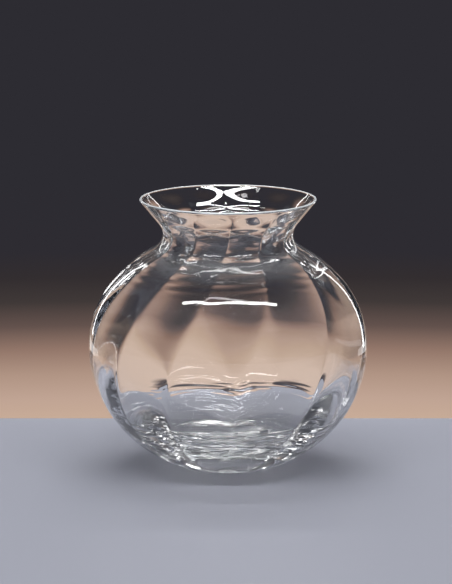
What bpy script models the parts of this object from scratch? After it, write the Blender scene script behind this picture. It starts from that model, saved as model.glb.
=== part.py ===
"""A small clear glass vase for violets and other short-stemmed posies.

One piece of blown crystal: a round body with soft upright panels, a narrow
neck, a flared collar with a fire-polished lip, and a heavy base that stands
on a narrow ring. All lengths are in metres and +Z is up. The origin is at the
middle of the standing ring, on the surface that the vase stands on.
"""

import math

import bmesh
import bpy

# Outside of the body: two half ellipses that meet at the belly
BELLY_RADIUS = 0.0519
BELLY_HEIGHT = 0.0447
FOOT_RADIUS = 0.0186
SHOULDER_RISE = 0.0432

# Neck, collar and lip
NECK_RADIUS = 0.0245
NECK_CURVE_RADIUS = 0.0066
COLLAR_HEIGHT = 0.0131
RIM_RADIUS = 0.0328

# Glass thickness. From the belly it thins to the top of the shoulder, swells
# to a ring just under the neck, and thins again through the collar to the lip.
BELLY_WALL = 0.0031
SHOULDER_WALL = 0.0021
NECK_WALL = 0.0028
COLLAR_WALL = 0.00145
LIP_THICKNESS = 0.0010
BASE_THICKNESS = 0.0065
THINNEST_BELOW_NECK = 0.0066
THICKEST_BELOW_NECK = 0.0020
THIN_AGAIN_ABOVE_NECK = 0.0059

# Underside: a flat ring to stand on, with a shallow hollow inside it
STANDING_RING_WIDTH = 0.0030
KICK_HEIGHT = 0.0016

# How fully the inside fills out towards the wall at the bottom; 2 is an ellipse
FLOOR_FULLNESS = 2.03

# Upright panels: shallow arches with a crease between each two. The creases
# are deep in the heavy glass low down, soft over the belly and firmer again
# at the neck, and much deeper on the inside than on the outside.
PANEL_COUNT = 12
INNER_CREASES = {"low": 0.0014, "soft": 0.0004, "neck": 0.0007}
OUTER_CREASES = {"low": 0.0003, "soft": 0.00015, "neck": 0.0003}
DEEP_CREASE_HEIGHT = 0.0160
SOFT_CREASE_BOTTOM = 0.0400
SOFT_CREASE_TOP = 0.0700
CREASE_FADE_ABOVE_FOOT = 0.0070
CREASE_FADE_BELOW_RIM = 0.0120
CREASE_FADE_RADIUS = 0.0150

# The panels lean to one side from the foot to the rim, and on the way up to
# the neck they bow back, some more than others, as hand work leaves them
PANEL_LEAN = math.radians(35.0)
PANEL_BOW = math.radians(5.0)
PANEL_BOW_VARIATION = math.radians(5.0)
PANEL_BOW_AZIMUTH = math.radians(-30.0)

# How finely the curves are divided
STEPS_PER_PANEL = 6
KICK_STEPS = 3
FLOOR_STEPS = 9
LOWER_STEPS = 9
SHOULDER_STEPS = 9
NECK_STEPS = 6
COLLAR_STEPS = 4
LIP_STEPS = 4

BISECTION_ROUNDS = 50
MERGE_DISTANCE = 0.000001

GLASS_COLOUR = (0.97, 0.985, 0.985, 1.0)
GLASS_ROUGHNESS = 0.02
GLASS_IOR = 1.52


def clear_scene():
    """Remove every object, so that the model starts from nothing."""
    for item in list(bpy.data.objects):
        bpy.data.objects.remove(item, do_unlink=True)


def body_point(rise, angle):
    """A point on an ellipse about the middle of the belly: radius, height."""
    return BELLY_RADIUS * math.cos(angle), BELLY_HEIGHT + rise * math.sin(angle)


def body_normal(rise, angle):
    """The direction straight out of that ellipse at the same point."""
    across = math.cos(angle) / BELLY_RADIUS
    up = math.sin(angle) / rise
    length = math.hypot(across, up)
    return across / length, up / length


def neck_touch():
    """The ellipse's angle where the neck's hollow curve touches the shoulder.

    The middle of the neck's curve lies a curve radius outside the ellipse,
    and at a fixed distance from the vase's axis, so the place is found by
    halving.
    """
    low = 0.0
    high = math.pi / 2
    for _ in range(BISECTION_ROUNDS):
        angle = (low + high) / 2
        radius = body_point(SHOULDER_RISE, angle)[0]
        across = body_normal(SHOULDER_RISE, angle)[0]
        if radius + NECK_CURVE_RADIUS * across > NECK_RADIUS + NECK_CURVE_RADIUS:
            low = angle
        else:
            high = angle
    return angle


def collar_flare():
    """The angle from upright of the collar's straight outer face.

    The face touches the neck's curve and passes outside the lip's middle.
    """
    across = LIP_MIDDLE[0] - NECK_CURVE_MIDDLE[0]
    up = LIP_MIDDLE[1] - NECK_CURVE_MIDDLE[1]
    offset = NECK_CURVE_RADIUS + LIP_RADIUS
    return math.atan2(across, up) + math.asin(offset / math.hypot(across, up))


NECK_TOUCH = neck_touch()
NECK_HEIGHT = (body_point(SHOULDER_RISE, NECK_TOUCH)[1]
               + NECK_CURVE_RADIUS * body_normal(SHOULDER_RISE, NECK_TOUCH)[1])
NECK_CURVE_MIDDLE = (NECK_RADIUS + NECK_CURVE_RADIUS, NECK_HEIGHT)
RIM_HEIGHT = NECK_HEIGHT + COLLAR_HEIGHT
LIP_RADIUS = LIP_THICKNESS / 2
LIP_MIDDLE = (RIM_RADIUS - LIP_RADIUS, RIM_HEIGHT - LIP_RADIUS)
COLLAR_FLARE = collar_flare()

# Where the collar's straight faces end and the rounding of the lip begins
COLLAR_OUT = (math.cos(COLLAR_FLARE), -math.sin(COLLAR_FLARE))
COLLAR_END = (LIP_MIDDLE[0] + LIP_RADIUS * COLLAR_OUT[0],
              LIP_MIDDLE[1] + LIP_RADIUS * COLLAR_OUT[1])

WALL_STATIONS = [
    (BELLY_HEIGHT, BELLY_WALL),
    (NECK_HEIGHT - THINNEST_BELOW_NECK, SHOULDER_WALL),
    (NECK_HEIGHT - THICKEST_BELOW_NECK, NECK_WALL),
    (NECK_HEIGHT + THIN_AGAIN_ABOVE_NECK, COLLAR_WALL),
    (COLLAR_END[1], LIP_THICKNESS),
]


def smooth_step(value):
    """Climb smoothly from 0 to 1 while the value does."""
    value = min(max(value, 0.0), 1.0)
    return value * value * (3 - 2 * value)


def wall_thickness(height):
    """How thick the glass is, from the belly up."""
    thickness = BELLY_WALL
    for (below, _), (above, target) in zip(WALL_STATIONS, WALL_STATIONS[1:]):
        share = smooth_step((height - below) / (above - below))
        thickness += (target - thickness) * share
    return thickness


def upper_outside():
    """The outer face from the belly to the lip, as points with normals."""
    face = []
    for step in range(SHOULDER_STEPS):
        angle = NECK_TOUCH * step / SHOULDER_STEPS
        face.append((body_point(SHOULDER_RISE, angle),
                     body_normal(SHOULDER_RISE, angle)))

    across, up = body_normal(SHOULDER_RISE, NECK_TOUCH)
    first_lean = -math.atan2(up, across)
    for step in range(NECK_STEPS + 1):
        lean = first_lean + (COLLAR_FLARE - first_lean) * step / NECK_STEPS
        out = (math.cos(lean), -math.sin(lean))
        face.append(((NECK_CURVE_MIDDLE[0] - NECK_CURVE_RADIUS * out[0],
                      NECK_CURVE_MIDDLE[1] - NECK_CURVE_RADIUS * out[1]), out))

    start = face[-1][0]
    for step in range(1, COLLAR_STEPS + 1):
        share = step / COLLAR_STEPS
        face.append(((start[0] + (COLLAR_END[0] - start[0]) * share,
                      start[1] + (COLLAR_END[1] - start[1]) * share), COLLAR_OUT))
    return face


def upper_inside(outer_face):
    """The inner face, one glass thickness in from the outer face."""
    points = []
    for (radius, height), (across, up) in outer_face:
        wall = wall_thickness(height)
        points.append((radius - wall * across, height - wall * up))
    return points


def underside():
    """The kick and the standing ring, from the axis out to the ring's edge."""
    ring_inside = FOOT_RADIUS - STANDING_RING_WIDTH
    points = []
    for step in range(KICK_STEPS + 1):
        share = step / KICK_STEPS
        points.append((ring_inside * share, KICK_HEIGHT * (1 - share * share)))
    return points


def lower_outside():
    """The outside of the body, from the foot up to the belly."""
    depth = BELLY_HEIGHT / math.sqrt(1 - (FOOT_RADIUS / BELLY_RADIUS) ** 2)
    foot_angle = math.asin(BELLY_HEIGHT / depth)
    points = []
    for step in range(LOWER_STEPS):
        points.append(body_point(depth, foot_angle * (step / LOWER_STEPS - 1)))
    return points


def lower_inside():
    """The inside of the body, from the middle of the floor up to the belly."""
    radius = BELLY_RADIUS - BELLY_WALL
    depth = BELLY_HEIGHT - BASE_THICKNESS
    power = 2 / FLOOR_FULLNESS
    points = [(0.0, BASE_THICKNESS)]
    for step in range(1, FLOOR_STEPS):
        angle = math.pi / 2 * (1 - step / FLOOR_STEPS)
        points.append((radius * math.cos(angle) ** power,
                       BELLY_HEIGHT - depth * math.sin(angle) ** power))
    return points


def lip():
    """The rounding over the lip, from the outer face to the inner face."""
    points = []
    for step in range(1, LIP_STEPS):
        angle = math.pi * step / LIP_STEPS - COLLAR_FLARE
        points.append((LIP_MIDDLE[0] + LIP_RADIUS * math.cos(angle),
                       LIP_MIDDLE[1] + LIP_RADIUS * math.sin(angle)))
    return points


def crease_depth(creases, radius, height):
    """How deep the creases of one face are, fading out at its edges."""
    low = smooth_step((SOFT_CREASE_BOTTOM - height)
                      / (SOFT_CREASE_BOTTOM - DEEP_CREASE_HEIGHT))
    neck = smooth_step((height - SOFT_CREASE_TOP) / (NECK_HEIGHT - SOFT_CREASE_TOP))
    depth = (creases["soft"] + (creases["low"] - creases["soft"]) * low
             + (creases["neck"] - creases["soft"]) * neck)
    above_foot = smooth_step(height / CREASE_FADE_ABOVE_FOOT)
    below_rim = smooth_step((RIM_HEIGHT - height) / CREASE_FADE_BELOW_RIM)
    off_axis = smooth_step(radius / CREASE_FADE_RADIUS)
    return depth * above_foot * below_rim * off_axis


def panel_turn(azimuth, height):
    """How far the panel that starts at this azimuth has moved round the axis."""
    bow = PANEL_BOW + PANEL_BOW_VARIATION * math.cos(2 * (azimuth - PANEL_BOW_AZIMUTH))
    climb = min(height / NECK_HEIGHT, 1.0)
    return PANEL_LEAN * height / RIM_HEIGHT - bow * math.sin(math.pi * climb)


def spin_profile(bm, points, depths, depth_layer):
    """Turn the profile about the axis into a closed skin.

    Each point carries the depth of its creases round with it.
    """
    chain = [bm.verts.new((radius, 0.0, height)) for radius, height in points]
    for vert, depth in zip(chain, depths):
        vert[depth_layer] = depth
    edges = [bm.edges.new(pair) for pair in zip(chain, chain[1:])]
    bmesh.ops.spin(bm, geom=chain + edges, cent=(0, 0, 0), axis=(0, 0, 1),
                   angle=2 * math.pi, steps=PANEL_COUNT * STEPS_PER_PANEL,
                   use_merge=True)
    bmesh.ops.remove_doubles(bm, verts=bm.verts, dist=MERGE_DISTANCE)
    bmesh.ops.recalc_face_normals(bm, faces=bm.faces)


def press_panels(bm, depth_layer):
    """Press the creases into the skin and turn the panels with height."""
    for vert in bm.verts:
        radius = math.hypot(vert.co.x, vert.co.y)
        if radius < MERGE_DISTANCE:
            continue
        azimuth = math.atan2(vert.co.x, -vert.co.y)
        arch = abs(math.sin(azimuth * PANEL_COUNT / 2))
        radius += vert[depth_layer] * (1 - arch)
        azimuth += panel_turn(azimuth, vert.co.z)
        vert.co.x = radius * math.sin(azimuth)
        vert.co.y = -radius * math.cos(azimuth)


def glass_material():
    """Clear lead-free crystal with a fire-polished surface."""
    material = bpy.data.materials.new("clear_crystal")
    material.use_nodes = True
    shader = material.node_tree.nodes["Principled BSDF"]
    shader.inputs["Base Color"].default_value = GLASS_COLOUR
    shader.inputs["Metallic"].default_value = 0.0
    shader.inputs["Roughness"].default_value = GLASS_ROUGHNESS
    shader.inputs["IOR"].default_value = GLASS_IOR
    shader.inputs["Transmission Weight"].default_value = 1.0
    return material


def make_vase():
    """The whole vase, as one body of glass."""
    outer_face = upper_outside()
    outside = underside() + lower_outside() + [point for point, _ in outer_face]
    inside = lower_inside() + upper_inside(outer_face)
    rounding = lip()

    depths = [-crease_depth(OUTER_CREASES, *point) for point in outside]
    depths += [0.0] * len(rounding)
    depths += [crease_depth(INNER_CREASES, *point) for point in reversed(inside)]

    bm = bmesh.new()
    depth_layer = bm.verts.layers.float.new("crease_depth")
    spin_profile(bm, outside + rounding + inside[::-1], depths, depth_layer)
    press_panels(bm, depth_layer)

    mesh = bpy.data.meshes.new("glass_vase")
    bm.to_mesh(mesh)
    bm.free()
    mesh.materials.append(glass_material())
    mesh.shade_smooth()
    vase = bpy.data.objects.new("glass_vase", mesh)
    bpy.context.scene.collection.objects.link(vase)
    return vase


clear_scene()
make_vase()
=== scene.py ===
"""A small clear crystal vase for violets, on a pale table in soft studio light.

The piece is built finer than the solid that it stands for, from the same
curves and panels, and adds the slight ripples that the mould and tool leave
in the glass. Lengths are in metres, +Z is up and the vase stands on z = 0.
"""

import math

import bmesh
import bpy
from mathutils import Matrix, Vector


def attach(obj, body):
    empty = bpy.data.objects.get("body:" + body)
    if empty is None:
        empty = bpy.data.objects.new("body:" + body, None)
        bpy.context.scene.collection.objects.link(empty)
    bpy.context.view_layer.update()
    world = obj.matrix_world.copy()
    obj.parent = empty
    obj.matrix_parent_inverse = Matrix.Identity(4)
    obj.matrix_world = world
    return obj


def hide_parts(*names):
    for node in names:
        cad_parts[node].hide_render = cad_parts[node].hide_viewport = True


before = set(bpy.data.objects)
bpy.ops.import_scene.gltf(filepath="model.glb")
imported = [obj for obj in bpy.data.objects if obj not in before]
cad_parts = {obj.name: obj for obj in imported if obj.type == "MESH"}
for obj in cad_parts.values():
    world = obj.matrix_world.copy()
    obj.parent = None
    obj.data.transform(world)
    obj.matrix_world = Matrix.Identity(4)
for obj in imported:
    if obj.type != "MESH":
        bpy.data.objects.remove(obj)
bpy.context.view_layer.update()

MM = 0.001

# Outside of the body, the neck, the collar and the lip
BELLY_RADIUS = 51.9 * MM
BELLY_HEIGHT = 44.7 * MM
FOOT_RADIUS = 18.6 * MM
SHOULDER_RISE = 43.2 * MM
NECK_RADIUS = 24.5 * MM
NECK_CURVE_RADIUS = 6.6 * MM
COLLAR_HEIGHT = 13.1 * MM
RIM_RADIUS = 32.8 * MM
LIP_RADIUS = 0.5 * MM

# Glass thickness at heights from the belly to the top of the collar
WALL_STATIONS = [
    (44.7 * MM, 3.1 * MM),
    (80.3 * MM, 2.1 * MM),
    (84.9 * MM, 2.8 * MM),
    (92.8 * MM, 1.45 * MM),
    (99.1 * MM, 1.0 * MM),
]
BASE_THICKNESS = 6.5 * MM

# Underside: a flat ring to stand on, with a shallow hollow inside it
STANDING_RING_WIDTH = 3.0 * MM
KICK_HEIGHT = 1.6 * MM

# How fully the inside fills out towards the wall at the bottom; 2 is an ellipse
FLOOR_FULLNESS = 2.03

# Upright panels with a crease between each two, as depths at heights
PANEL_COUNT = 12
INNER_CREASES = [(16 * MM, 1.4 * MM), (40 * MM, 0.4 * MM),
                 (70 * MM, 0.4 * MM), (86.9 * MM, 0.7 * MM)]
OUTER_CREASES = [(16 * MM, 0.3 * MM), (40 * MM, 0.15 * MM),
                 (70 * MM, 0.15 * MM), (86.9 * MM, 0.3 * MM)]
CREASE_FADE_ABOVE_FOOT = 7.0 * MM
CREASE_FADE_BELOW_RIM = 12.0 * MM
CREASE_FADE_RADIUS = 15.0 * MM

# How round the bottoms of the creases are at heights; 0 is sharp
CREASE_SOFTNESS = [(16 * MM, 0.0), (40 * MM, 0.15), (66 * MM, 0.15), (84 * MM, 0.0)]

# The panels lean from the foot to the rim, and bow back on the way to the neck
PANEL_LEAN = math.radians(35.0)
PANEL_BOW = math.radians(5.0)
PANEL_BOW_VARIATION = math.radians(5.0)
PANEL_BOW_AZIMUTH = math.radians(-30.0)

# Ripples where the hot glass met the cooler mould and tool. Each fade runs
# from the height where they begin to the height where they are full.
LOW_RIPPLE = 0.06 * MM
LOW_RIPPLE_FADES = [(24 * MM, 17 * MM)]
LOW_RIPPLE_FADE_RADIUS = 12 * MM
FOOT_RIPPLE_OUTSIDE = 0.02 * MM
FOOT_RIPPLE_FADES = [(15 * MM, 9 * MM), (0.5 * MM, 2 * MM)]
NECK_RIPPLE = 0.025 * MM
NECK_RIPPLE_OUTSIDE = 0.012 * MM
NECK_RIPPLE_FADES = [(69 * MM, 73 * MM), (93 * MM, 87 * MM)]

# Each set of rings: its spacing, its strength, and the waves in which it
# wanders round the vase, as size, count and start
RIPPLE_RINGS = [
    (2.6 * MM, 1.0, [(2.2, 3, 4.0), (1.3, 7, 1.6)]),
    (1.7 * MM, 0.8, [(2.5, 4, 2.7), (1.6, 9, 5.9)]),
    (4.1 * MM, 0.5, [(3.0, 2, 1.1)]),
    (1.2 * MM, 0.4, [(1.9, 5, 0.7), (1.4, 11, 3.3)]),
]

# How finely the curves are divided, and how much the steps crowd at a crease
STEPS_PER_PANEL = 16
KICK_STEPS = 8
FLOOR_STEPS = 230
LOWER_STEPS = 96
SHOULDER_STEPS = 48
NECK_STEPS = 20
COLLAR_STEPS = 18
LIP_STEPS = 10
CREASE_CROWDING = 0.5
BISECTION_ROUNDS = 50
MERGE_DISTANCE = 0.01 * MM

# A hair smaller than the solid, so that the ripples stay inside its box
SHRINK_ACROSS = 0.9985
SHRINK_UP = 0.99997

# The glass: its tint, and the swells that cooling leaves in its face, which
# are a few hundredths of a millimetre high
GLASS_INDEX = 1.52
GLASS_TINT = "e8eef2"
GLASS_TINT_DENSITY = 3.0
SWELL_SIZE = 8.0 * MM
SWELL_DISTANCE = 0.1 * MM
SWELL_STRENGTH = 0.15

# How far down from the top the lip is painted whitish and part cloudy: a painted
# highlight that shows as a white rim line
PAINTED_LIP_HIGHLIGHT_DEPTH = 0.35 * MM

# Camera: the photograph's viewing angle and frame
CAMERA_SIDE = -0.75 * MM
CAMERA_DISTANCE = 1.4
CAMERA_HEIGHT = 0.32926
CAMERA_PITCH = math.radians(10.699)
FOCAL_PIXELS = 3838.86
FRAME_HEIGHT_PIXELS = 584
SENSOR_WIDTH = 36.0

# The table top is a hair below the standing ring, so that light gets under it
TABLE_EDGE = 75.5 * MM
TABLE_HEIGHT = -0.1 * MM
TABLE_WIDTH = 2.4
TABLE_DEPTH = 2.4
TABLE_COLOUR = "a0a2ae"
TABLE_ROUGHNESS = 0.4

# Backdrop paper: colours of its painted glow, a warm tan band fading to dark, at rows
# of the camera's picture. The rows below the table's edge, down past the frame, are
# seen only where the glass bends light
BACKDROP_GLOW_COLOURS = [(675, "2e2c32"), (625, "5a4c48"), (588, "dcc2b0"), (480, "dcc2b0"),
                    (418, "c8ac98"), (396, "c0a494"), (372, "b09484"), (348, "94786b"),
                    (324, "63524d"), (300, "403938"), (276, "332e30"), (250, "2e2c32"),
                    (180, "2d2c32")]
BACKDROP_RADIUS = 0.9
BACKDROP_BOTTOM = -1.2
BACKDROP_TOP = 0.25
BACKDROP_STEPS = 128

# Above this height the glass shows the room beyond the paper
PAPER_SEEN_IN_GLASS = -0.02

# The room: its light comes from high behind, out to the angle whose cosine
# is given, and an even light falls on the table
LOW_ROOM_LIGHT = "3c3d42"
HIGH_ROOM_LIGHT = "ffffff"
ROOM_LIGHT_ON_TABLE = "9c9da0"
ROOM_LIGHT_FROM = (0.0, 0.5, 0.866)
ROOM_LIGHT_EDGE = 0.82

# Lamps: name, start, end, width and brightness. All face the vase's middle
VASE_MIDDLE = (0.0, 0.0, 0.05)
LAMPS = [
    ("strip_front", (-0.27, -0.53, 1.25), (0.33, -0.53, 1.25), 0.06, 35.0),
    ("strip_front_left", (-0.72, -0.39, 1.25), (-0.27, -0.53, 1.25), 0.06, 35.0),
    ("strip_front_right", (0.33, -0.53, 1.25), (0.78, -0.39, 1.25), 0.06, 35.0),
    ("strip_top", (-0.4, 0.3, 1.25), (0.4, 0.3, 1.25), 0.04, 25.0),
    ("strip_behind", (-0.4, 0.7, 1.1), (0.4, 0.7, 1.1), 0.05, 30.0),
    ("strip_left", (-0.42, 0.7, -0.05), (-0.42, 0.7, 0.5), 0.035, 5.5),
    ("strip_right", (0.42, 0.7, -0.1), (0.42, 0.7, 0.5), 0.035, 5.5),
    ("strip_left_low", (-0.6, 0.56, -0.1), (-0.3, 0.77, -0.1), 0.04, 0.9),
    ("strip_right_low", (0.3, 0.77, -0.1), (0.6, 0.56, -0.1), 0.04, 0.9),
]

# The lamp bowed over the mouth makes the highlight inside the collar, and
# grids keep its light off the front of the shoulder
COLLAR_BOW = {
    "middle": Vector((0.0, -0.029, 0.35)),
    "target": Vector((0.0, 0.03, 0.095)),
    "half_angle": math.radians(26.0),
    "parts": 8,
    "width": 0.014,
    "brightness": 50.0,
    "spread": math.radians(28.0),
}

# Light crosses the thick glass of the base many times before it comes out
GLASS_CROSSINGS = 64


def linear(hex_colour):
    """An sRGB hex colour as linear red, green, blue and alpha."""
    channels = []
    for start in (0, 2, 4):
        value = int(hex_colour[start:start + 2], 16) / 255
        if value <= 0.04045:
            channels.append(value / 12.92)
        else:
            channels.append(((value + 0.055) / 1.055) ** 2.4)
    return (*channels, 1.0)


def smooth_step(value):
    """Climb smoothly from 0 to 1 while the value does."""
    value = min(max(value, 0.0), 1.0)
    return value * value * (3 - 2 * value)


def along(stations, height):
    """Pass smoothly from station to station of a list of (height, value)."""
    result = stations[0][1]
    for (below, _), (above, target) in zip(stations, stations[1:]):
        result += (target - result) * smooth_step((height - below) / (above - below))
    return result


def faded(fades, height):
    """A share from 0 to 1: 0 up to where a fade begins, and 1 past its end."""
    share = 1.0
    for begin, full in fades:
        share *= smooth_step((height - begin) / (full - begin))
    return share


def body_point(rise, angle):
    """A point on an ellipse about the middle of the belly: radius, height."""
    return BELLY_RADIUS * math.cos(angle), BELLY_HEIGHT + rise * math.sin(angle)


def body_normal(rise, angle):
    """The direction straight out of that ellipse at the same point."""
    across = math.cos(angle) / BELLY_RADIUS
    up = math.sin(angle) / rise
    length = math.hypot(across, up)
    return across / length, up / length


def neck_touch():
    """The ellipse's angle where the neck's hollow curve touches the shoulder."""
    low = 0.0
    high = math.pi / 2
    for _ in range(BISECTION_ROUNDS):
        angle = (low + high) / 2
        radius = body_point(SHOULDER_RISE, angle)[0]
        across = body_normal(SHOULDER_RISE, angle)[0]
        if radius + NECK_CURVE_RADIUS * across > NECK_RADIUS + NECK_CURVE_RADIUS:
            low = angle
        else:
            high = angle
    return angle


NECK_TOUCH = neck_touch()
NECK_HEIGHT = (body_point(SHOULDER_RISE, NECK_TOUCH)[1]
               + NECK_CURVE_RADIUS * body_normal(SHOULDER_RISE, NECK_TOUCH)[1])
NECK_CURVE_MIDDLE = (NECK_RADIUS + NECK_CURVE_RADIUS, NECK_HEIGHT)
RIM_HEIGHT = NECK_HEIGHT + COLLAR_HEIGHT
LIP_MIDDLE = (RIM_RADIUS - LIP_RADIUS, RIM_HEIGHT - LIP_RADIUS)


def collar_flare():
    """The angle from upright of the collar's straight outer face."""
    across = LIP_MIDDLE[0] - NECK_CURVE_MIDDLE[0]
    up = LIP_MIDDLE[1] - NECK_CURVE_MIDDLE[1]
    offset = NECK_CURVE_RADIUS + LIP_RADIUS
    return math.atan2(across, up) + math.asin(offset / math.hypot(across, up))


# Where the collar's straight face ends and the rounding of the lip begins
COLLAR_FLARE = collar_flare()
COLLAR_OUT = (math.cos(COLLAR_FLARE), -math.sin(COLLAR_FLARE))
COLLAR_END = (LIP_MIDDLE[0] + LIP_RADIUS * COLLAR_OUT[0],
              LIP_MIDDLE[1] + LIP_RADIUS * COLLAR_OUT[1])


def upper_outside():
    """The outer face from the belly to the lip, as points with normals."""
    face = []
    for step in range(SHOULDER_STEPS):
        angle = NECK_TOUCH * step / SHOULDER_STEPS
        face.append((body_point(SHOULDER_RISE, angle),
                     body_normal(SHOULDER_RISE, angle)))

    across, up = body_normal(SHOULDER_RISE, NECK_TOUCH)
    first_lean = -math.atan2(up, across)
    for step in range(NECK_STEPS + 1):
        lean = first_lean + (COLLAR_FLARE - first_lean) * step / NECK_STEPS
        out = (math.cos(lean), -math.sin(lean))
        face.append(((NECK_CURVE_MIDDLE[0] - NECK_CURVE_RADIUS * out[0],
                      NECK_CURVE_MIDDLE[1] - NECK_CURVE_RADIUS * out[1]), out))

    start = face[-1][0]
    for step in range(1, COLLAR_STEPS + 1):
        share = step / COLLAR_STEPS
        face.append(((start[0] + (COLLAR_END[0] - start[0]) * share,
                      start[1] + (COLLAR_END[1] - start[1]) * share), COLLAR_OUT))
    return face


def upper_inside(outer_face):
    """The inner face, one glass thickness in from the outer face."""
    points = []
    for (radius, height), (across, up) in outer_face:
        wall = along(WALL_STATIONS, height)
        points.append((radius - wall * across, height - wall * up))
    return points


def underside():
    """The kick and the standing ring, from the axis out to the ring's edge."""
    ring_inside = FOOT_RADIUS - STANDING_RING_WIDTH
    points = []
    for step in range(KICK_STEPS + 1):
        share = step / KICK_STEPS
        points.append((ring_inside * share, KICK_HEIGHT * (1 - share * share)))
    return points


def lower_outside():
    """The outside of the body, from the foot up to the belly."""
    depth = BELLY_HEIGHT / math.sqrt(1 - (FOOT_RADIUS / BELLY_RADIUS) ** 2)
    foot_angle = math.asin(BELLY_HEIGHT / depth)
    points = []
    for step in range(LOWER_STEPS):
        points.append(body_point(depth, foot_angle * (step / LOWER_STEPS - 1)))
    return points


def lower_inside():
    """The inside of the body, from the middle of the floor up to the belly."""
    radius = BELLY_RADIUS - WALL_STATIONS[0][1]
    depth = BELLY_HEIGHT - BASE_THICKNESS
    power = 2 / FLOOR_FULLNESS
    points = [(0.0, BASE_THICKNESS)]
    for step in range(1, FLOOR_STEPS):
        angle = math.pi / 2 * (1 - step / FLOOR_STEPS)
        points.append((radius * math.cos(angle) ** power,
                       BELLY_HEIGHT - depth * math.sin(angle) ** power))
    return points


def lip():
    """The rounding over the lip, from the outer face to the inner face."""
    points = []
    for step in range(1, LIP_STEPS):
        angle = math.pi * step / LIP_STEPS - COLLAR_FLARE
        points.append((LIP_MIDDLE[0] + LIP_RADIUS * math.cos(angle),
                       LIP_MIDDLE[1] + LIP_RADIUS * math.sin(angle)))
    return points


def crease_depth(creases, radius, height):
    """How deep the creases of one face are, fading out at its edges."""
    above_foot = smooth_step(height / CREASE_FADE_ABOVE_FOOT)
    below_rim = smooth_step((RIM_HEIGHT - height) / CREASE_FADE_BELOW_RIM)
    off_axis = smooth_step(radius / CREASE_FADE_RADIUS)
    return along(creases, height) * above_foot * below_rim * off_axis


def panel_turn(azimuth, height):
    """How far the panel that starts at this azimuth has moved round the axis."""
    bow = PANEL_BOW + PANEL_BOW_VARIATION * math.cos(2 * (azimuth - PANEL_BOW_AZIMUTH))
    climb = min(height / NECK_HEIGHT, 1.0)
    return PANEL_LEAN * height / RIM_HEIGHT - bow * math.sin(math.pi * climb)


def ripple_inside(radius, height):
    """How high the inner face's ripples are: low down and in the neck."""
    low = faded(LOW_RIPPLE_FADES, height) * smooth_step(radius / LOW_RIPPLE_FADE_RADIUS)
    return LOW_RIPPLE * low + NECK_RIPPLE * faded(NECK_RIPPLE_FADES, height)


def ripple_outside(height):
    """How high the outer face's ripples are: round the foot and in the neck."""
    return (FOOT_RIPPLE_OUTSIDE * faded(FOOT_RIPPLE_FADES, height)
            + NECK_RIPPLE_OUTSIDE * faded(NECK_RIPPLE_FADES, height))


def ripple_rings(azimuth, height):
    """The mould's chill ripples: rings round the vase that wander a little."""
    total = 0.0
    for spacing, strength, wanders in RIPPLE_RINGS:
        phase = 2 * math.pi * height / spacing
        for size, waves, start in wanders:
            phase += size * math.sin(waves * azimuth + start)
        total += strength * math.sin(phase)
    return total


def glass_outline():
    """The closed outline: each point's radius, height, crease depth and ripple."""
    outer_face = upper_outside()
    outside = underside() + lower_outside() + [point for point, _ in outer_face]
    inside = lower_inside() + upper_inside(outer_face)
    outline = []
    for radius, height in outside:
        outline.append((radius, height, -crease_depth(OUTER_CREASES, radius, height),
                        ripple_outside(height)))
    for radius, height in lip():
        outline.append((radius, height, 0.0, 0.0))
    for radius, height in reversed(inside):
        outline.append((radius, height, crease_depth(INNER_CREASES, radius, height),
                        ripple_inside(radius, height)))
    return outline


def press_panels(bm, depth_layer, ripple_layer):
    """Press creases and ripples into the skin, and turn the panels with height."""
    for vert in bm.verts:
        radius = math.hypot(vert.co.x, vert.co.y)
        if radius < MERGE_DISTANCE:
            continue
        height = vert.co.z
        azimuth = math.atan2(vert.co.x, -vert.co.y)
        azimuth -= CREASE_CROWDING * math.sin(azimuth * PANEL_COUNT) / PANEL_COUNT
        soft = along(CREASE_SOFTNESS, height)
        arch = abs(math.sin(azimuth * PANEL_COUNT / 2))
        arch = (math.hypot(arch, soft) - soft) / (math.hypot(1.0, soft) - soft)
        radius += vert[depth_layer] * (1 - arch)
        azimuth += panel_turn(azimuth, height)
        if vert[ripple_layer]:
            radius += vert[ripple_layer] * ripple_rings(azimuth, height)
        vert.co.x = radius * math.sin(azimuth) * SHRINK_ACROSS
        vert.co.y = -radius * math.cos(azimuth) * SHRINK_ACROSS
        vert.co.z = height * SHRINK_UP


def glass_wall():
    """Spin the vase's closed outline and press its panels into both faces.

    The faces at the top of the lip get the second material, a painted highlight.
    """
    bm = bmesh.new()
    depth_layer = bm.verts.layers.float.new("crease_depth")
    ripple_layer = bm.verts.layers.float.new("ripple_strength")
    chain = []
    for radius, height, depth, ripple in glass_outline():
        vert = bm.verts.new((radius, 0.0, height))
        vert[depth_layer] = depth
        vert[ripple_layer] = ripple
        chain.append(vert)
    edges = [bm.edges.new(pair) for pair in zip(chain, chain[1:])]
    bmesh.ops.spin(bm, geom=chain + edges, cent=(0, 0, 0), axis=(0, 0, 1),
                   angle=2 * math.pi, steps=PANEL_COUNT * STEPS_PER_PANEL,
                   use_merge=True)
    bmesh.ops.remove_doubles(bm, verts=bm.verts, dist=MERGE_DISTANCE)
    bmesh.ops.recalc_face_normals(bm, faces=bm.faces)
    press_panels(bm, depth_layer, ripple_layer)
    # Faces at the top of the lip take the painted highlight material
    for face in bm.faces:
        face.material_index = int(face.calc_center_median().z > RIM_HEIGHT - PAINTED_LIP_HIGHLIGHT_DEPTH)
    return bm


def add_node(tree, kind, settings=None, inputs=None, links=None):
    """Add a node, set its properties and sockets, and link sockets into it."""
    node = tree.nodes.new(kind)
    for name, value in (settings or {}).items():
        setattr(node, name, value)
    for socket, value in (inputs or {}).items():
        node.inputs[socket].default_value = value
    for socket, source in (links or {}).items():
        tree.links.new(source, node.inputs[socket])
    return node


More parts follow.
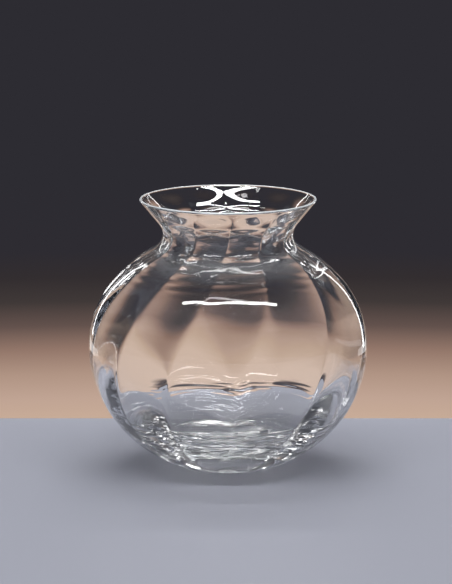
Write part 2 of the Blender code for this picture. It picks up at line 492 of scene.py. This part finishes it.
def crystal(name, colour, roughness, transmission):
    """Lead-free crystal with the soft swells that cooling leaves in its face."""
    material = bpy.data.materials.new(name)
    material.use_nodes = True
    tree = material.node_tree
    tree.nodes.clear()
    place = add_node(tree, "ShaderNodeTexCoord")
    swells = add_node(tree, "ShaderNodeTexNoise",
                      inputs={"Scale": 1 / SWELL_SIZE, "Detail": 1.0, "Roughness": 0.4},
                      links={"Vector": place.outputs["Object"]})
    surface = add_node(tree, "ShaderNodeBump",
                       inputs={"Strength": SWELL_STRENGTH, "Distance": SWELL_DISTANCE},
                       links={"Height": swells.outputs[0]})
    glass = add_node(tree, "ShaderNodeBsdfPrincipled",
                     inputs={"Base Color": linear(colour),
                             "Metallic": 0.0,
                             "Roughness": roughness,
                             "IOR": GLASS_INDEX,
                             "Transmission Weight": transmission},
                     links={"Normal": surface.outputs[0]})
    depth = add_node(tree, "ShaderNodeVolumeAbsorption",
                     inputs={"Color": linear(GLASS_TINT),
                             "Density": GLASS_TINT_DENSITY})
    add_node(tree, "ShaderNodeOutputMaterial",
             links={"Surface": glass.outputs[0], "Volume": depth.outputs[0]})
    return material


def blown_crystal():
    """Crystal as the mould and the fire leave it.

    The eye sees clear glass that only bends what stands behind it, with a
    faint cool tint where the glass is thick.
    """
    return crystal("clear_crystal", "ffffff", roughness=0.0, transmission=1.0)


def painted_lip_highlight():
    """The same crystal, melted round on the crown of the lip.

    A painted highlight: it scatters light from the whole room, so the lip shows a fine
    white line.
    """
    # The whitish colour and part transmission paint the lip's highlight
    return crystal("lip_painted_highlight", "f2f4f6", roughness=0.15, transmission=0.35)


def finish_piece(bm, name, material):
    """Turn a bmesh into a smooth-shaded piece at the origin."""
    mesh = bpy.data.meshes.new(name)
    bm.to_mesh(mesh)
    bm.free()
    mesh.materials.append(material)
    mesh.shade_smooth()
    piece = bpy.data.objects.new(name, mesh)
    bpy.context.scene.collection.objects.link(piece)
    return piece


def make_vase():
    """The vase, dressed over the solid that it stands for."""
    vase = finish_piece(glass_wall(), "blown_glass_vase", blown_crystal())
    # The second material is the lip's painted highlight
    vase.data.materials.append(painted_lip_highlight())
    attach(vase, "root")
    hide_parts("glass_vase")


def pale_laminate():
    """Pale grey laminate with a satin face: even, with hardly any gloss."""
    material = bpy.data.materials.new("pale_laminate")
    material.use_nodes = True
    shader = material.node_tree.nodes["Principled BSDF"]
    shader.inputs["Base Color"].default_value = linear(TABLE_COLOUR)
    shader.inputs["Roughness"].default_value = TABLE_ROUGHNESS
    return material


def make_table():
    """A plain pale table top that ends just behind the vase."""
    bm = bmesh.new()
    bmesh.ops.create_grid(bm, x_segments=1, y_segments=1, size=0.5)
    bmesh.ops.scale(bm, vec=(TABLE_WIDTH, TABLE_DEPTH, 1.0), verts=bm.verts)
    bmesh.ops.translate(bm, vec=(0.0, TABLE_EDGE - TABLE_DEPTH / 2, TABLE_HEIGHT),
                        verts=bm.verts)
    finish_piece(bm, "table_top", pale_laminate())


def backdrop_height(row):
    """How high on the backdrop a row of the camera's picture looks."""
    middle = FRAME_HEIGHT_PIXELS / 2
    below_level = CAMERA_PITCH + math.atan((row - middle) / FOCAL_PIXELS)
    reach = CAMERA_DISTANCE + BACKDROP_RADIUS
    return CAMERA_HEIGHT - reach * math.tan(below_level)


def painted_glow_paper():
    """Backdrop paper with a painted glow in a warm tan band, fading to dark above and
    below.

    From outside it isn't seen, so that any side may be looked at, and the
    plain light of the room reaches the table through it.
    """
    material = bpy.data.materials.new("painted_glow_paper")
    material.use_nodes = True
    tree = material.node_tree
    tree.nodes.clear()
    place = add_node(tree, "ShaderNodeTexCoord")
    parts = add_node(tree, "ShaderNodeSeparateXYZ",
                     links={"Vector": place.outputs["Object"]})
    bottom = backdrop_height(BACKDROP_GLOW_COLOURS[0][0])
    top = backdrop_height(BACKDROP_GLOW_COLOURS[-1][0])
    share = add_node(tree, "ShaderNodeMapRange",
                     inputs={"From Min": bottom, "From Max": top},
                     links={"Value": parts.outputs["Z"]})
    ramp = add_node(tree, "ShaderNodeValToRGB", links={"Fac": share.outputs[0]})
    steps = ramp.color_ramp.elements
    for row, colour in BACKDROP_GLOW_COLOURS[1:-1]:
        height = (backdrop_height(row) - bottom) / (top - bottom)
        steps.new(height).color = linear(colour)
    steps[0].color = linear(BACKDROP_GLOW_COLOURS[0][1])
    steps[-1].color = linear(BACKDROP_GLOW_COLOURS[-1][1])
    # The paper's tan band and dark fade are a painted glow, not lamp light
    glow = add_node(tree, "ShaderNodeEmission", links={"Color": ramp.outputs[0]})

    side = add_node(tree, "ShaderNodeNewGeometry")
    path = add_node(tree, "ShaderNodeLightPath")
    from_table = add_node(tree, "ShaderNodeMath", {"operation": "MAXIMUM"},
                          links={0: side.outputs["Backfacing"],
                                 1: path.outputs["Diffuse Depth"]})
    above = add_node(tree, "ShaderNodeMath", {"operation": "GREATER_THAN"},
                     inputs={1: PAPER_SEEN_IN_GLASS}, links={0: parts.outputs["Z"]})
    in_glass = add_node(tree, "ShaderNodeMath", {"operation": "SUBTRACT"},
                        links={0: above.outputs[0], 1: path.outputs["Is Camera Ray"]})
    unseen = add_node(tree, "ShaderNodeMath",
                      {"operation": "MAXIMUM", "use_clamp": True},
                      links={0: from_table.outputs[0], 1: in_glass.outputs[0]})
    clear = add_node(tree, "ShaderNodeBsdfTransparent")
    either = add_node(tree, "ShaderNodeMixShader",
                      links={0: unseen.outputs[0], 1: glow.outputs[0],
                             2: clear.outputs[0]})
    add_node(tree, "ShaderNodeOutputMaterial", links={"Surface": either.outputs[0]})
    return material


def make_backdrop():
    """A ring of backdrop paper all round the table, which faces inwards."""
    bm = bmesh.new()
    low = bm.verts.new((BACKDROP_RADIUS, 0.0, BACKDROP_BOTTOM))
    high = bm.verts.new((BACKDROP_RADIUS, 0.0, BACKDROP_TOP))
    edge = bm.edges.new((low, high))
    bmesh.ops.spin(bm, geom=[low, high, edge], cent=(0, 0, 0), axis=(0, 0, 1),
                   angle=2 * math.pi, steps=BACKDROP_STEPS, use_merge=True)
    bmesh.ops.recalc_face_normals(bm, faces=bm.faces)
    first = bm.faces[:][0]
    if first.normal.dot(first.calc_center_median()) > 0:
        bmesh.ops.reverse_faces(bm, faces=bm.faces)
    finish_piece(bm, "backdrop", painted_glow_paper())


def make_world():
    """The room: pale light high behind, and dark where the camera looks."""
    world = bpy.data.worlds.new("room")
    bpy.context.scene.world = world
    world.use_nodes = True
    tree = world.node_tree
    tree.nodes.clear()
    direction = add_node(tree, "ShaderNodeTexCoord")
    towards = add_node(tree, "ShaderNodeVectorMath", {"operation": "DOT_PRODUCT"},
                       inputs={1: ROOM_LIGHT_FROM},
                       links={0: direction.outputs["Generated"]})
    share = add_node(tree, "ShaderNodeMapRange",
                     {"interpolation_type": "SMOOTHSTEP"},
                     inputs={"From Min": ROOM_LIGHT_EDGE, "From Max": 1.0},
                     links={"Value": towards.outputs["Value"]})
    room = add_node(tree, "ShaderNodeMix", {"data_type": "RGBA"},
                    inputs={6: linear(LOW_ROOM_LIGHT), 7: linear(HIGH_ROOM_LIGHT)},
                    links={0: share.outputs[0]})
    path = add_node(tree, "ShaderNodeLightPath")
    lit = add_node(tree, "ShaderNodeMix", {"data_type": "RGBA"},
                   inputs={7: linear(ROOM_LIGHT_ON_TABLE)},
                   links={0: path.outputs["Diffuse Depth"], 6: room.outputs[2]})
    colour = add_node(tree, "ShaderNodeMix", {"data_type": "RGBA"},
                      inputs={7: linear(BACKDROP_GLOW_COLOURS[-1][1])},
                      links={0: path.outputs["Is Camera Ray"], 6: lit.outputs[2]})
    light = add_node(tree, "ShaderNodeBackground", links={"Color": colour.outputs[2]})
    add_node(tree, "ShaderNodeOutputWorld", links={"Surface": light.outputs[0]})


def make_softbox(name, start, end, width, brightness, target=VASE_MIDDLE,
                 spread=math.pi):
    """A flat lamp that runs from its start to its end and faces its target.

    Its brightness is how white it looks, and 1 is the white of paper. A grid
    in front of it keeps its light within the spread.
    """
    start, end = Vector(start), Vector(end)
    middle = (start + end) / 2
    along_lamp = (end - start).normalized()
    facing = Vector(target) - middle
    back = -(facing - along_lamp * facing.dot(along_lamp)).normalized()
    lamp = bpy.data.lights.new(name, "AREA")
    lamp.shape = "RECTANGLE"
    lamp.size = (end - start).length
    lamp.size_y = width
    lamp.spread = spread
    grid_share = 1 - spread / 2 / math.tan(spread / 2)
    lamp.energy = brightness * math.pi * lamp.size * width * grid_share
    holder = bpy.data.objects.new(name, lamp)
    turn = Matrix((along_lamp, back.cross(along_lamp), back)).transposed()
    holder.matrix_world = Matrix.Translation(middle) @ turn.to_4x4()
    holder.visible_camera = False
    bpy.context.scene.collection.objects.link(holder)


def make_bowed_lamp(name, middle, target, half_angle, parts, width, brightness, spread):
    """A row of softboxes with grids, bowed round the place that they face."""
    reach = middle - target
    edges = []
    for step in range(parts + 1):
        angle = half_angle * (2 * step / parts - 1)
        sideways = Vector((reach.length * math.sin(angle), 0.0, 0.0))
        edges.append(target + reach * math.cos(angle) + sideways)
    for number, (start, end) in enumerate(zip(edges, edges[1:]), start=1):
        make_softbox(f"{name}_{number}", start, end, width, brightness, target, spread)


def make_camera():
    """Look at the vase as the photograph does."""
    camera = bpy.data.cameras.new("camera")
    camera.lens = FOCAL_PIXELS * SENSOR_WIDTH / FRAME_HEIGHT_PIXELS
    camera.sensor_width = SENSOR_WIDTH
    holder = bpy.data.objects.new("camera", camera)
    holder.location = (CAMERA_SIDE, -CAMERA_DISTANCE, CAMERA_HEIGHT)
    holder.rotation_euler = (math.pi / 2 - CAMERA_PITCH, 0.0, 0.0)
    bpy.context.scene.collection.objects.link(holder)
    bpy.context.scene.camera = holder


make_vase()
make_table()
make_backdrop()
make_world()
for lamp in LAMPS:
    make_softbox(*lamp)
make_bowed_lamp("collar_bow", **COLLAR_BOW)
make_camera()

scene = bpy.context.scene
scene.view_settings.view_transform = "Standard"
scene.cycles.max_bounces = GLASS_CROSSINGS
scene.cycles.transmission_bounces = GLASS_CROSSINGS
scene.cycles.glossy_bounces = GLASS_CROSSINGS
